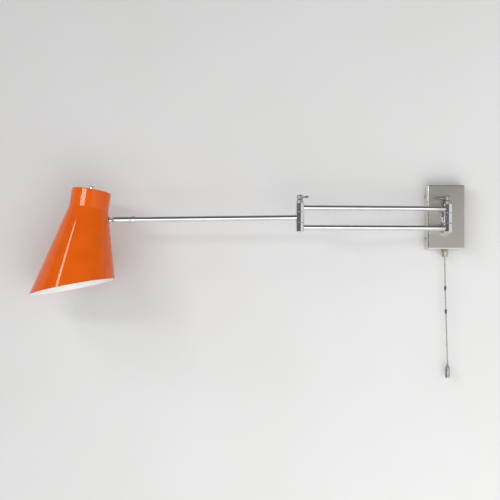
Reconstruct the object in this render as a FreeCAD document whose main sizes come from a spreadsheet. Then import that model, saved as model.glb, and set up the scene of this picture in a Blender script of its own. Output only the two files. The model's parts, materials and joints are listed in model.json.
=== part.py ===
"""Accordion wall lamp: a flat box on the wall, a double arm, a single arm and a tilting shade.

Millimetres, +Z up. The origin is the centre of the box's back face, on the wall. The lamp stands out
towards -Y and its arms reach out towards -X.
"""
import FreeCAD
import Part
import Sketcher

import math
import os

from FreeCAD import Placement, Rotation, Vector

doc = FreeCAD.newDocument("AccordionWallLamp")

# --------------------------------------------------------------------------- driving dimensions
DIMENSIONS = {
    # wall box
    "box_width": 70, "box_height": 120, "box_depth": 30, "box_wall": 1.5, "box_corner": 1.2,
    "plate_gap": 0.2, "plate_thickness": 1.5, "plate_setback": 2.5, "flange_depth": 14,
    "slot_spacing": 83.3, "slot_radius": 2.2, "slot_length": 10,
    "side_screw_inset": 20, "side_screw_setback": 8, "side_screw_radius": 1.95,
    "side_screw_gap": 0.25, "side_screw_head_radius": 3.6, "side_screw_head_height": 2.2,
    "side_screw_length": 7,
    "entry_height": 22, "entry_radius": 8, "grommet_bore": 4, "grommet_lip": 1.6,
    # knuckles, the same at the box and between the arms
    "knuckle_drop": 4, "knuckle_standoff": 15, "barrel_radius": 7.75, "barrel_height": 16.6,
    "washer_thickness": 0.6, "washer_setback": 0.4, "pin_radius": 3, "pin_end_gap": 0.6,
    "running_gap": 0.05, "barrel_edge": 0.8, "clamp_washer_overhang": 0.8,
    "clamp_collar_radius": 5.8, "clamp_collar_height": 5, "clamp_collar_edge": 1,
    "clamp_head_radius": 5.2, "clamp_head_height": 9.4, "clamp_head_edge": 2,
    "base_lever_reach": 23.5, "base_lever_heading": 180, "outer_lever_reach": 16,
    "outer_lever_heading": 0, "lever_root_radius": 1.5, "lever_root_end": 1,
    "lever_root_stand": 0.4, "lever_tip_radius": 2.3, "lever_rise": 7, "lever_height": 4.6,
    "stem_radius": 5, "stem_thread_length": 12, "rosette_radius": 9, "rosette_thickness": 2,
    "stem_nut_flats": 15, "stem_nut_height": 5, "lock_washer_thickness": 1,
    # arms
    "tube_radius": 5, "tube_wall": 1, "tube_spacing": 36, "inner_arm_length": 284,
    "outer_arm_length": 337.5, "inner_arm_angle": 10, "outer_arm_angle": 0,
    "inner_arm_sag": 0.8, "outer_arm_sag": 0.68, "lead_radius": 2.3, "lead_seat": 0.15,
    "lead_end_gap": 4,
    # swivel: the ball is a little smaller than the bore it went in through
    "swivel_wall": 0.75, "swivel_length": 29, "swivel_mouth": 2, "swivel_engagement": 13,
    "swivel_edge": 0.8, "collar_wall": 1.4, "collar_length": 11, "collar_gap": 0.3,
    "collar_edge": 0.7, "collar_bore_gap": 0.01, "ball_entry_gap": 0.07, "ball_gap": 0.08,
    "ball_stand": 0.3, "seat_front": 3, "seat_back": 9, "seat_bore": 2, "seat_gap": 0.03,
    "seat_clearance": 0.3,
    # shade, with its axis upright: crease at 0
    "shade_radius": 36, "shade_wall": 1, "crown_height": 33, "flare_angle": 14.9,
    "long_side": 172, "short_side": 118, "rim_allowance": 12, "shade_lean": 9.3,
    "crown_edge": 1.5, "stud_drop": 14.5, "flange_radius": 6.5, "flange_thickness": 2,
    "flange_edge": 0.5, "neck_radius": 4.2, "neck_length": 2.6, "stud_radius": 3,
    "stud_bore": 1.5, "stud_tip_radius": 2.2, "stud_inside": 6, "shell_gap": 0.05,
    "stud_nut_radius": 5, "stud_nut_height": 3, "stud_nut_gap": 0.4,
    # lampholder and bulb
    "nipple_radius": 5, "nipple_bore": 3.2, "nipple_depth": 12, "nipple_rise": 5.1,
    "nipple_end_gap": 0.2, "finial_radius": 6, "finial_height": 8.5, "finial_edge": 2.5,
    "holder_washer_radius": 10, "holder_washer_thickness": 2, "holder_radius": 19.5,
    "holder_height": 52, "holder_wall": 2.5, "holder_roof": 15, "holder_shoulder": 6,
    "skirt_wall": 1.95, "skirt_height": 12, "shell_radius": 15.6, "shell_wall": 1.6,
    "shell_height": 30, "contact_bore": 1, "contact_radius": 4, "contact_height": 4.5,
    "contact_gap": 0.5, "bulb_cap_radius": 13.3, "bulb_cap_height": 26, "bulb_cap_wall": 0.8,
    "bulb_cap_shoulder": 4, "bulb_cap_tip_radius": 5, "bulb_radius": 30,
    "bulb_shoulder_rise": 13.2, "bulb_neck_radius": 12.3, "bulb_neck_length": 12,
    "bulb_neck_depth": 8, "bulb_wall": 1, "bulb_length": 80,
    # pull switch, chain and weight
    "switch_width": 20, "switch_depth": 18, "switch_height": 28, "switch_bore_depth": 19.6,
    "nozzle_radius": 6.2, "nozzle_mouth_radius": 5.6, "nozzle_length": 9.6,
    "nozzle_straight": 2.4, "nozzle_bore": 2.6, "nozzle_thread_radius": 4.5,
    "nozzle_thread_length": 8, "nozzle_nut_radius": 6.6, "nozzle_nut_height": 4,
    "chain_radius": 1.6, "chain_joint_gap": 0.05, "connector_radius": 2.1,
    "weight_radius": 4.6, "weight_height": 26, "weight_neck_height": 4.5,
    "weight_neck_radius": 2.4, "weight_shoulder": 1.5, "weight_edge": 1,
    # terminal block
    "terminal_width": 32, "terminal_depth": 10, "terminal_height": 10, "terminal_stand": 3.5,
    "terminal_lead_radius": 1, "terminal_pitch": 8, "terminal_way_offset": 2.5,
    "terminal_way_gap": 0.6, "terminal_way_depth": 4,
    # how far a hole's tool runs past what it cuts
    "cut_past": 1,
}

# Where the chain runs, from inside the nozzle down to the weight.
CHAIN = [
    (0, -15, -66), (1.0, -15, -128.8), (1.2, -15, -136.3), (2.1, -15, -172.8),
    (2.4, -15, -180.3), (5.2, -15, -275.5),
]

sheet = doc.addObject("Spreadsheet::Sheet", "Sizes")
for row, (alias, value) in enumerate(DIMENSIONS.items(), start=1):
    sheet.set(f"A{row}", alias)
    sheet.set(f"B{row}", str(value))
    sheet.setAlias(f"B{row}", alias)
doc.recompute()


class Size:
    """A number worked out from the sheet, together with the formula that keeps it bound."""

    def __init__(self, value, formula):
        self.value = value
        self.formula = formula

    def __add__(self, other):
        return Size(self.value + number(other), f"({self.formula} + {formula(other)})")

    def __radd__(self, other):
        return Size(number(other) + self.value, f"({formula(other)} + {self.formula})")

    def __sub__(self, other):
        return Size(self.value - number(other), f"({self.formula} - {formula(other)})")

    def __rsub__(self, other):
        return Size(number(other) - self.value, f"({formula(other)} - {self.formula})")

    def __mul__(self, other):
        return Size(self.value * number(other), f"({self.formula} * {formula(other)})")

    __rmul__ = __mul__

    def __truediv__(self, other):
        return Size(self.value / number(other), f"({self.formula} / {formula(other)})")

    def __neg__(self):
        return Size(-self.value, f"(0 - {self.formula})")


def number(size):
    return size.value if isinstance(size, Size) else size


def formula(size):
    return size.formula if isinstance(size, Size) else repr(size)


def tangent(size):
    return Size(math.tan(math.radians(size.value)), f"tan({size.formula})")


def root(size):
    return Size(math.sqrt(size.value), f"sqrt({size.formula})")


def beside(radius, offset):
    """The other coordinate of a point on a circle, where one is the offset."""
    return root(radius * radius - offset * offset)


class Sheet:
    """Reads a cell of the sheet by its alias."""

    def __getattr__(self, alias):
        return Size(float(sheet.get(alias)), f"Sizes.{alias}")


s = Sheet()


# --------------------------------------------------------------------------- ways of making
def bind(target, name, size):
    """Gives a property its size, and keeps it bound to the sheet."""
    setattr(target, name, number(size))
    if isinstance(size, Size):
        target.setExpression(name, size.formula)


def stand(target, place, turn=None):
    """Puts a building block at a point that follows the sheet."""
    target.Placement = Placement(Vector(*[number(c) for c in place]), turn or Rotation())
    for axis, coordinate in zip("xyz", place):
        if isinstance(coordinate, Size):
            target.setExpression(f"Placement.Base.{axis}", coordinate.formula)
    return target


def arc_between(start, end, radius):
    """The shorter arc from start to end. A positive radius bulges to the right of the way."""
    chord = end - start
    middle = (start + end) * 0.5
    rise = math.sqrt(max(radius * radius - chord.Length * chord.Length / 4, 0))
    left = Vector(-chord.y, chord.x, 0).normalize()
    centre = middle + left * (rise if radius > 0 else -rise)
    circle = Part.Circle(centre, Vector(0, 0, 1), abs(radius))
    first, last = (start, end) if radius > 0 else (end, start)
    return Part.ArcOfCircle(circle, circle.parameter(first), circle.parameter(last))


def pin_point(sketch, index, position, point):
    """Fixes one point of a sketch by its two coordinates, bound to the sheet."""
    for way, coordinate, axis in zip(("DistanceX", "DistanceY"), point, (-2, -1)):
        if number(coordinate) == 0:
            sketch.addConstraint(Sketcher.Constraint("PointOnObject", index, position, axis))
            continue
        constraint = Sketcher.Constraint(way, -1, 1, index, position, number(coordinate))
        place = sketch.addConstraint(constraint)
        if isinstance(coordinate, Size):
            sketch.setExpression(f"Constraints[{place}]", coordinate.formula)


def outline(sketch, points):
    """Draws a closed outline. A point (x, y, radius) is reached by an arc, any other by a line."""
    flat = [Vector(number(p[0]), number(p[1]), 0) for p in points]
    ends = []
    for i, point in enumerate(points):
        start, end = flat[i - 1], flat[i]
        if len(point) == 2:
            index = sketch.addGeometry(Part.LineSegment(start, end), False)
            ends.append((index, 1, 2))
            continue
        radius = point[2]
        index = sketch.addGeometry(arc_between(start, end, number(radius)), False)
        ends.append((index, 1, 2) if number(radius) > 0 else (index, 2, 1))
        size = radius if number(radius) > 0 else -radius
        place = sketch.addConstraint(Sketcher.Constraint("Radius", index, number(size)))
        if isinstance(size, Size):
            sketch.setExpression(f"Constraints[{place}]", size.formula)
    for i, (index, first, last) in enumerate(ends):
        before, _, before_last = ends[i - 1]
        sketch.addConstraint(
            Sketcher.Constraint("Coincident", before, before_last, index, first)
        )
        pin_point(sketch, index, last, points[i][:2])


def circle(sketch, centre, radius):
    """Draws a hole or a round, its centre and radius bound to the sheet."""
    at = Vector(number(centre[0]), number(centre[1]), 0)
    index = sketch.addGeometry(Part.Circle(at, Vector(0, 0, 1), number(radius)), False)
    pin_point(sketch, index, 3, centre)
    place = sketch.addConstraint(Sketcher.Constraint("Radius", index, number(radius)))
    if isinstance(radius, Size):
        sketch.setExpression(f"Constraints[{place}]", radius.formula)


def new_body(name):
    return doc.addObject("PartDesign::Body", name)


def new_sketch(body, plane, name):
    """A sketch on one of the body's own origin planes."""
    sketch = body.newObject("Sketcher::SketchObject", name)
    planes = [f for f in body.Origin.OriginFeatures if f.Role == plane]
    sketch.AttachmentSupport = [(planes[0], "")]
    sketch.MapMode = "FlatFace"
    return sketch


def turned(name, points):
    """A body turned on the lathe: points are (radius, height) round its half section."""
    body = new_body(name)
    sketch = new_sketch(body, "XZ_Plane", name + "_section")
    outline(sketch, points)
    turning = body.newObject("PartDesign::Revolution", name + "_turning")
    turning.Profile = sketch
    turning.ReferenceAxis = (sketch, ["V_Axis"])
    turning.Angle = 360
    sketch.Visibility = False
    return body


def ring(name, inner, outer, low, high):
    """A plain turned ring, bush or washer."""
    return turned(name, [(inner, low), (outer, low), (outer, high), (inner, high)])


def padded(body, plane, name, points, length, reverse=False):
    """Adds a pad from a closed outline on an origin plane."""
    sketch = new_sketch(body, plane, name + "_outline")
    outline(sketch, points)
    pad = body.newObject("PartDesign::Pad", name)
    pad.Profile = sketch
    bind(pad, "Length", length)
    pad.Reversed = reverse
    sketch.Visibility = False
    return pad


def rectangle(width, height, centre=(0, 0)):
    """The four corners of a rectangle round a centre."""
    return [
        (centre[0] - width / 2, centre[1] - height / 2),
        (centre[0] + width / 2, centre[1] - height / 2),
        (centre[0] + width / 2, centre[1] + height / 2),
        (centre[0] - width / 2, centre[1] + height / 2),
    ]


def pocket(body, plane, name, draw, length=None, reverse=False, both=False):
    """Cuts a pocket, to a depth or right through, from what draw puts in its sketch."""
    sketch = new_sketch(body, plane, name + "_outline")
    draw(sketch)
    cut = body.newObject("PartDesign::Pocket", name)
    cut.Profile = sketch
    if length is None:
        cut.Type = "ThroughAll"
    else:
        bind(cut, "Length", length)
    cut.Reversed = reverse
    if both:
        cut.Midplane = True
    sketch.Visibility = False
    return cut


def cylinder(name, radius, height, place=(0, 0, 0), turn=None):
    block = doc.addObject("Part::Cylinder", name)
    bind(block, "Radius", radius)
    bind(block, "Height", height)
    return stand(block, place, turn)


def cone(name, radius, tip_radius, height, place=(0, 0, 0), turn=None):
    block = doc.addObject("Part::Cone", name)
    bind(block, "Radius1", radius)
    bind(block, "Radius2", tip_radius)
    bind(block, "Height", height)
    return stand(block, place, turn)


def sphere(name, radius, place=(0, 0, 0)):
    block = doc.addObject("Part::Sphere", name)
    bind(block, "Radius", radius)
    return stand(block, place)


def cut_from(name, base, tools):
    """Base less the tools, one after another."""
    for count, tool in enumerate(tools):
        result = doc.addObject("Part::Cut", name if tool is tools[-1] else f"{name}_{count}")
        result.Base = base
        result.Tool = tool
        base = result
    return base


def joined(name, shapes):
    result = doc.addObject("Part::MultiFuse", name)
    result.Shapes = shapes
    return result


def grouped(name, shapes):
    """Several loose solids that are one node, such as a set of screws."""
    result = doc.addObject("Part::Compound", name)
    result.Links = shapes
    return result


nodes = []


def node(label, piece, *places):
    """Names a finished piece and puts it in its place on the lamp."""
    place = Placement()
    for step in places:
        place = place.multiply(step)
    piece.Label = label
    piece.Placement = place
    nodes.append(piece)
    return piece


# --------------------------------------------------------------------------- places
barrel_bore = s.pin_radius + s.running_gap
hub_height = s.tube_spacing - s.barrel_height - s.washer_thickness * 2
knuckle_top = s.tube_spacing / 2 + s.barrel_height / 2
stud_radius_at_shade = s.shade_radius + s.stud_drop * tangent(s.flare_angle)
sleeve_bore = s.tube_radius + s.running_gap
ball_radius = sleeve_bore - s.ball_entry_gap
ball_pocket = ball_radius + s.ball_gap
stud_reach = s.shell_gap + s.flange_thickness + s.neck_length + ball_radius + s.ball_stand
side_screw_rise = s.box_height / 2 - s.side_screw_inset
switch_setback = s.box_depth / 2
holder_top = s.crown_height - s.shade_wall - s.holder_washer_thickness
holder_ceiling = holder_top - s.holder_roof
box_floor = -(s.box_height / 2 - s.box_wall)

UP = Vector(0, 0, 1)
ACROSS = Vector(0, 1, 0)
TO_THE_RIGHT = Rotation(ACROSS, 90)
TO_THE_WALL = Rotation(Vector(1, 0, 0), -90)
TO_THE_ROOM = Rotation(Vector(1, 0, 0), 90)


def turn_about(axis, degrees):
    return Placement(Vector(), Rotation(axis, degrees))


def shift(x, y, z):
    return Placement(Vector(number(x), number(y), number(z)), Rotation())


def facing(rotation):
    return Placement(Vector(), rotation)


def arm_line(sag):
    """Turns a piece's +Z to run out along the arm, towards -X and a little down."""
    return turn_about(ACROSS, -(90 + number(sag)))


def arm_drop(length, sag):
    return length * tangent(sag)


base_axis = shift(0, -(s.box_depth + s.knuckle_standoff), -s.knuckle_drop)
inner_arm = base_axis.multiply(turn_about(UP, number(s.inner_arm_angle)))
outer_knuckle = inner_arm.multiply(
    shift(-s.inner_arm_length, 0, -arm_drop(s.inner_arm_length, s.inner_arm_sag))
)
outer_arm = outer_knuckle.multiply(
    turn_about(UP, number(s.outer_arm_angle) - number(s.inner_arm_angle))
)
outer_line = outer_arm.multiply(arm_line(s.outer_arm_sag))
ball_centre = outer_line.multiply(shift(0, 0, s.outer_arm_length))

# The shade's own frame has its axis upright and its crease at 0. Its stud leaves the right side
# square to the flare, so it points a little up there.
flare = turn_about(ACROSS, 90 - number(s.flare_angle))
stud_foot = shift(stud_radius_at_shade, 0, -s.stud_drop).multiply(flare)
ball_in_shade = stud_foot.multiply(shift(0, 0, stud_reach)).Base
shade_turn = Rotation(ACROSS, number(s.shade_lean))
shade_frame = Placement(ball_centre.Base - shade_turn.multVec(ball_in_shade), shade_turn)


# --------------------------------------------------------------------------- wall box
def make_cover():
    body = new_body("Cover")
    block = padded(body, "XZ_Plane", "Block", rectangle(s.box_width, s.box_height), s.box_depth)
    doc.recompute()
    corners = [
        f"Edge{i}"
        for i, edge in enumerate(block.Shape.Edges, start=1)
        if round(abs(edge.tangentAt(edge.FirstParameter).y)) == 1
    ]
    rounding = body.newObject("PartDesign::Fillet", "Corners")
    rounding.Base = (block, corners)
    bind(rounding, "Radius", s.box_corner)
    inside = rectangle(s.box_width - s.box_wall * 2, s.box_height - s.box_wall * 2)
    pocket(body, "XZ_Plane", "Hollow", lambda k: outline(k, inside),
           s.box_depth - s.box_wall, reverse=True)
    pocket(body, "XZ_Plane", "StemHole",
           lambda k: circle(k, (0, -s.knuckle_drop), s.stem_radius + s.running_gap),
           reverse=True)
    pocket(body, "XY_Plane", "NozzleHole",
           lambda k: circle(k, (0, -switch_setback), s.nozzle_thread_radius + s.running_gap))
    side_holes(body, s.side_screw_radius + s.side_screw_gap)
    node("box_cover", body)


def side_holes(body, radius):
    """The four holes for the side screws, right through from side to side."""
    def draw(sketch):
        for way in (-1, 1):
            circle(sketch, (-s.side_screw_setback, side_screw_rise * way), radius)

    pocket(body, "YZ_Plane", "SideHoles", draw, both=True)


def make_mounting_plate():
    """A channel that is screwed to the wall and holds the cover by its two flanges."""
    body = new_body("MountingPlate")
    width = s.box_width - s.box_wall * 2 - s.plate_gap * 2
    half = width / 2
    t = s.plate_thickness
    section = [
        (-half, 0), (half, 0), (half, -s.flange_depth), (half - t, -s.flange_depth),
        (half - t, -t), (t - half, -t), (t - half, -s.flange_depth), (-half, -s.flange_depth),
    ]
    sketch = new_sketch(body, "XY_Plane", "ChannelSection")
    outline(sketch, section)
    channel = body.newObject("PartDesign::Pad", "Channel")
    channel.Profile = sketch
    bind(channel, "Length", s.box_height - s.plate_setback * 2)
    channel.Midplane = True

    def wall_slots(sketch):
        for way in (-1, 1):
            middle = s.slot_spacing / 2 * way
            run = s.slot_length / 2 - s.slot_radius
            r = s.slot_radius
            outline(sketch, [
                (-r, middle - run), (0, middle - run - r, r), (r, middle - run, r),
                (r, middle + run), (0, middle + run + r, r), (-r, middle + run, r),
            ])

    pocket(body, "XZ_Plane", "WallSlots", wall_slots, reverse=True)
    pocket(body, "XZ_Plane", "CableEntry",
           lambda k: circle(k, (0, s.entry_height), s.entry_radius), reverse=True)
    side_holes(body, s.side_screw_radius + s.running_gap)
    node("mounting_plate", body)


def make_side_screws():
    """Four pan-headed screws that hold the cover to the mounting plate."""
    screws = []
    for side in (-1, 1):
        for way in (-1, 1):
            name = f"SideScrew{len(screws)}"
            turn = Rotation(ACROSS, 90 * side)
            height = side_screw_rise * way
            seat = s.box_width / 2 * side
            root_end = (s.box_width / 2 - s.side_screw_length) * side
            head = cylinder(name + "Head", s.side_screw_head_radius, s.side_screw_head_height,
                            (seat, -s.side_screw_setback, height), turn)
            shank = cylinder(name + "Shank", s.side_screw_radius,
                             s.side_screw_length + s.side_screw_head_height / 2,
                             (root_end, -s.side_screw_setback, height), turn)
            screws.append(joined(name, [head, shank]))
    node("cover_screws", grouped("SideScrews", screws))


def make_grommet():
    """A rubber ring in the hole where the house cable comes in."""
    r, lip, t = s.entry_radius - s.running_gap, s.grommet_lip, s.plate_thickness
    grommet = turned("Grommet", [
        (s.grommet_bore, 0), (r, 0), (r, t), (r + lip, t), (r + lip, t + lip),
        (s.grommet_bore, t + lip),
    ])
    node("cable_grommet", grommet, shift(0, 0, s.entry_height), facing(TO_THE_ROOM))


def make_base_hub():
    """The fixed middle barrel of the base knuckle, with the threaded stem that holds it."""
    barrel = cylinder("HubBarrel", s.barrel_radius, hub_height, (0, 0, -hub_height / 2))
    reach = s.knuckle_standoff + s.box_wall + s.stem_thread_length
    stem = cylinder("HubStem", s.stem_radius, reach, (0, 0, 0), TO_THE_WALL)
    bore = cylinder("HubBore", barrel_bore, hub_height + s.cut_past * 2,
                    (0, 0, -hub_height / 2 - s.cut_past))
    node("base_hub", cut_from("BaseHub", joined("HubBlank", [barrel, stem]), [bore]), base_axis)

    face = facing(TO_THE_WALL)
    rosette = ring("Rosette", s.stem_radius + s.running_gap, s.rosette_radius,
                   s.knuckle_standoff - s.rosette_thickness, s.knuckle_standoff)
    node("stem_rosette", rosette, base_axis, face)

    inside = s.knuckle_standoff + s.box_wall
    washer = ring("LockWasher", s.stem_radius + s.running_gap, s.rosette_radius,
                  inside, inside + s.lock_washer_thickness)
    node("stem_lock_washer", washer, base_axis, face)
    low = inside + s.lock_washer_thickness
    node("stem_nut", hexagon("StemNut", s.stem_nut_flats, s.stem_nut_height,
                             s.stem_radius + s.running_gap), base_axis, face, shift(0, 0, low))


def hexagon(name, flats, height, bore):
    """A hexagon nut, standing on its face."""
    body = new_body(name)
    corner = flats * (1 / math.sqrt(3))
    points = [
        (corner, 0), (corner / 2, flats / 2), (-corner / 2, flats / 2),
        (-corner, 0), (-corner / 2, -flats / 2), (corner / 2, -flats / 2),
    ]
    padded(body, "XY_Plane", name + "Block", points, height)
    pocket(body, "XY_Plane", name + "Bore", lambda k: circle(k, (0, 0), bore), reverse=True)
    return body


def make_pull_switch():
    """The switch inside the box and the threaded nozzle that its chain hangs from."""
    block = new_body("PullSwitch")
    padded(block, "XY_Plane", "SwitchBlock",
           rectangle(s.switch_width, s.switch_depth), s.switch_height)
    pocket(block, "XY_Plane", "SwitchBore",
           lambda k: circle(k, (0, 0), s.nozzle_thread_radius + s.running_gap),
           s.switch_bore_depth, reverse=True)
    place = shift(0, -switch_setback, box_floor)
    node("pull_switch", block, place)

    under = s.box_wall
    nut_low = -(under + s.nozzle_nut_height)
    nut = ring("NozzleNut", s.nozzle_thread_radius + s.running_gap, s.nozzle_nut_radius,
               nut_low, -under)
    node("nozzle_nut", nut, place)
    nozzle = turned("Nozzle", [
        (s.nozzle_bore, nut_low - s.nozzle_length),
        (s.nozzle_mouth_radius, nut_low - s.nozzle_length),
        (s.nozzle_radius, nut_low - s.nozzle_straight),
        (s.nozzle_radius, nut_low),
        (s.nozzle_thread_radius, nut_low),
        (s.nozzle_thread_radius, s.nozzle_thread_length),
        (s.nozzle_bore, s.nozzle_thread_length),
    ])
    node("switch_nozzle", nozzle, place)


def make_terminal_block():
    block = new_body("TerminalBlock")
    padded(block, "XY_Plane", "TerminalBody",
           rectangle(s.terminal_width, s.terminal_depth), s.terminal_height)

    def ways(sketch):
        for step in (-1, 0, 1):
            circle(sketch, (s.terminal_pitch * step, -s.terminal_way_offset),
                   s.terminal_lead_radius + s.terminal_way_gap)

    pocket(block, "XY_Plane", "TerminalWays", ways, s.terminal_way_depth, reverse=True)
    middle = -(s.plate_thickness + s.terminal_depth / 2)
    switch_top = box_floor + s.switch_height
    node("terminal_block", block, shift(0, middle, switch_top + s.terminal_stand))

    leads = []
    for way in (-1, 1):
        place = (s.terminal_pitch * way, middle - s.terminal_way_offset, switch_top)
        leads.append(cylinder(f"SwitchLead{way + 1}", s.terminal_lead_radius,
                              s.terminal_stand + s.terminal_way_depth / 2, place))
    node("switch_leads", grouped("SwitchLeads", leads))


# --------------------------------------------------------------------------- knuckles and arms
def barrel(name):
    """One of the two turned barrels of an arm at a knuckle."""
    e = s.barrel_edge
    half = s.barrel_height / 2
    return turned(name, [
        (barrel_bore, -half), (s.barrel_radius - e, -half), (s.barrel_radius, -half + e),
        (s.barrel_radius, half - e), (s.barrel_radius - e, half), (barrel_bore, half),
    ])


def make_knuckle_washers(label, frame):
    """Two nylon washers, above and below the middle barrel of a knuckle."""
    washers = []
    for way in (-1, 1):
        low = hub_height / 2 * way if way > 0 else -(hub_height / 2 + s.washer_thickness)
        disc = cylinder(f"{label}Disc{way + 1}", s.barrel_radius - s.washer_setback,
                        s.washer_thickness, (0, 0, low))
        hole = cylinder(f"{label}Hole{way + 1}", barrel_bore,
                        s.washer_thickness + s.cut_past * 2, (0, 0, low - s.cut_past))
        washers.append(cut_from(f"{label}Ring{way + 1}", disc, [hole]))
    node(label, grouped(label + "Set", washers), frame)


def make_clamp(prefix, frame, reach, heading):
    """The long screw that is the knuckle's pin, its washer and the lever that tightens it."""
    top = knuckle_top + s.washer_thickness
    bottom = -(knuckle_top - s.pin_end_gap)
    collar = top + s.clamp_collar_height
    crown = collar + s.clamp_head_height
    bevel, round_edge = s.clamp_collar_edge, s.clamp_head_edge
    screw = turned(prefix + "Screw", [
        (0, bottom), (s.pin_radius, bottom), (s.pin_radius, top),
        (s.clamp_collar_radius, top), (s.clamp_collar_radius, collar - bevel),
        (s.clamp_collar_radius - bevel, collar), (s.clamp_head_radius, collar),
        (s.clamp_head_radius, crown - round_edge),
        (s.clamp_head_radius - round_edge, crown, round_edge), (0, crown),
    ])
    height = collar + s.lever_height
    hole = cylinder(prefix + "LeverHole", s.lever_root_radius + s.running_gap,
                    s.clamp_head_radius + s.cut_past, (0, 0, height), TO_THE_RIGHT)
    turn = turn_about(UP, number(heading))
    node(prefix + "_clamp_screw", cut_from(prefix + "DrilledScrew", screw, [hole]), frame, turn)
    washer = ring(prefix + "ClampWasher", barrel_bore,
                  s.clamp_collar_radius + s.clamp_washer_overhang, knuckle_top, top)
    node(prefix + "_clamp_washer", washer, frame)

    root_length = s.clamp_head_radius + s.lever_root_stand
    grip = reach - root_length - s.lever_tip_radius
    root_rod = cylinder(prefix + "LeverRoot", s.lever_root_radius,
                        root_length - s.lever_root_end, (s.lever_root_end, 0, 0), TO_THE_RIGHT)
    rise = Rotation(ACROSS, 90 - number(s.lever_rise))
    handle = cone(prefix + "LeverGrip", s.lever_root_radius, s.lever_tip_radius, grip,
                  (root_length, 0, 0), rise)
    lift = grip * math.sin(math.radians(number(s.lever_rise)))
    run = grip * math.cos(math.radians(number(s.lever_rise)))
    tip = sphere(prefix + "LeverTip", s.lever_tip_radius, (root_length + run, 0, lift))
    lever = joined(prefix + "Lever", [root_rod, handle, tip])
    node(prefix + "_clamp_lever", lever, frame, turn, shift(0, 0, height))


def coped_tube(name, start, end, sag, copes):
    """A round tube along the arm from start to end, its ends cut to fit the barrels it meets."""
    length = end - start
    out = Rotation(ACROSS, -(90 + number(sag)))
    slope = math.radians(number(sag))
    foot = (-start * math.cos(slope), 0, -start * math.sin(slope))
    outer = cylinder(name + "Outside", s.tube_radius, length, foot, out)
    inner = cylinder(name + "Inside", s.tube_radius - s.tube_wall, length, foot, out)
    tools = [inner]
    past = s.tube_radius * 2
    for count, (x, z) in enumerate(copes):
        tools.append(cylinder(f"{name}Cope{count}", s.barrel_radius, past * 2, (x, 0, z - past)))
    return cut_from(name, outer, tools)


def make_arm_lead(label, start, end, *places):
    """The two-core lead inside an arm tube, lying on the bottom of the tube."""
    rest = s.tube_radius - s.tube_wall - s.lead_radius - s.lead_seat
    node(label, cylinder(label + "Core", s.lead_radius, end - start), *places,
         shift(-rest, 0, start))


def make_inner_arm():
    """The double arm: two tubes one above the other, between four barrels."""
    half = s.tube_spacing / 2
    drop = arm_drop(s.inner_arm_length, s.inner_arm_sag)
    along = s.inner_arm_length * (1 / math.cos(math.radians(number(s.inner_arm_sag))))
    for label, way in (("upper", 1), ("lower", -1)):
        node(f"{label}_base_barrel", barrel(label + "BaseBarrel"),
             inner_arm, shift(0, 0, half * way))
        node(f"{label}_outer_barrel", barrel(label + "OuterBarrel"),
             outer_knuckle, shift(0, 0, half * way))
        tube = coped_tube(label + "Tube", s.pin_radius, along - s.pin_radius,
                          s.inner_arm_sag, [(0, 0), (-s.inner_arm_length, -drop)])
        node(f"{label}_tube", tube, inner_arm, shift(0, 0, half * way))
    first = s.barrel_radius + s.lead_end_gap
    make_arm_lead("inner_arm_lead", first, along - first,
                  inner_arm, shift(0, 0, half), arm_line(s.inner_arm_sag))


def make_outer_arm():
    """The single arm: a middle barrel at the outer knuckle, one tube and the swivel's collar."""
    sleeve = ring("OuterHub", barrel_bore, s.barrel_radius, -hub_height / 2, hub_height / 2)
    node("outer_hub", sleeve, outer_arm)
    tube_end = s.outer_arm_length + s.swivel_mouth - s.swivel_length + s.swivel_engagement
    tube = coped_tube("OuterTube", s.pin_radius, tube_end, s.outer_arm_sag, [(0, 0)])
    node("outer_tube", tube, outer_arm)
    make_arm_lead("outer_arm_lead", s.barrel_radius + s.lead_end_gap,
                  tube_end - s.lead_end_gap, outer_line)
    front = s.swivel_mouth - s.swivel_length - s.collar_gap
    back = front - s.collar_length
    bore = s.tube_radius + s.collar_bore_gap
    wide = s.tube_radius + s.collar_wall
    e = s.collar_edge
    collar = turned("Collar", [
        (bore, back), (wide - e, back), (wide, back + e), (wide, front - e), (wide - e, front),
        (bore, front),
    ])
    node("swivel_collar", collar, ball_centre)


# --------------------------------------------------------------------------- swivel
def make_swivel():
    """The socket sleeve that turns on the arm's end, its seat and the ball in it."""
    wide, e = sleeve_bore + s.swivel_wall, s.swivel_edge
    end = s.swivel_mouth - s.swivel_length
    sleeve = turned("Sleeve", [
        (sleeve_bore, end), (wide, end), (wide, s.swivel_mouth - e),
        (wide - e, s.swivel_mouth, e),
        (beside(ball_pocket, s.swivel_mouth), s.swivel_mouth),
        (sleeve_bore, beside(ball_pocket, sleeve_bore), -ball_pocket),
    ])
    node("swivel_sleeve", sleeve, ball_centre)
    dish = ball_radius + s.seat_clearance
    edge = sleeve_bore - s.seat_gap
    seat = turned("Seat", [
        (s.seat_bore, -s.seat_back), (edge, -s.seat_back), (edge, -s.seat_front),
        (beside(dish, s.seat_front), -s.seat_front),
        (s.seat_bore, -beside(dish, s.seat_bore), -dish),
    ])
    node("ball_seat", seat, ball_centre)
    ball = sphere("Ball", ball_radius)
    bore_tool = cylinder("BallBore", s.stud_bore, (ball_radius + s.cut_past) * 2,
                         (0, 0, -ball_radius - s.cut_past))
    node("swivel_ball", cut_from("BoredBall", ball, [bore_tool]), shade_frame,
         Placement(ball_in_shade, flare.Rotation))


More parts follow.
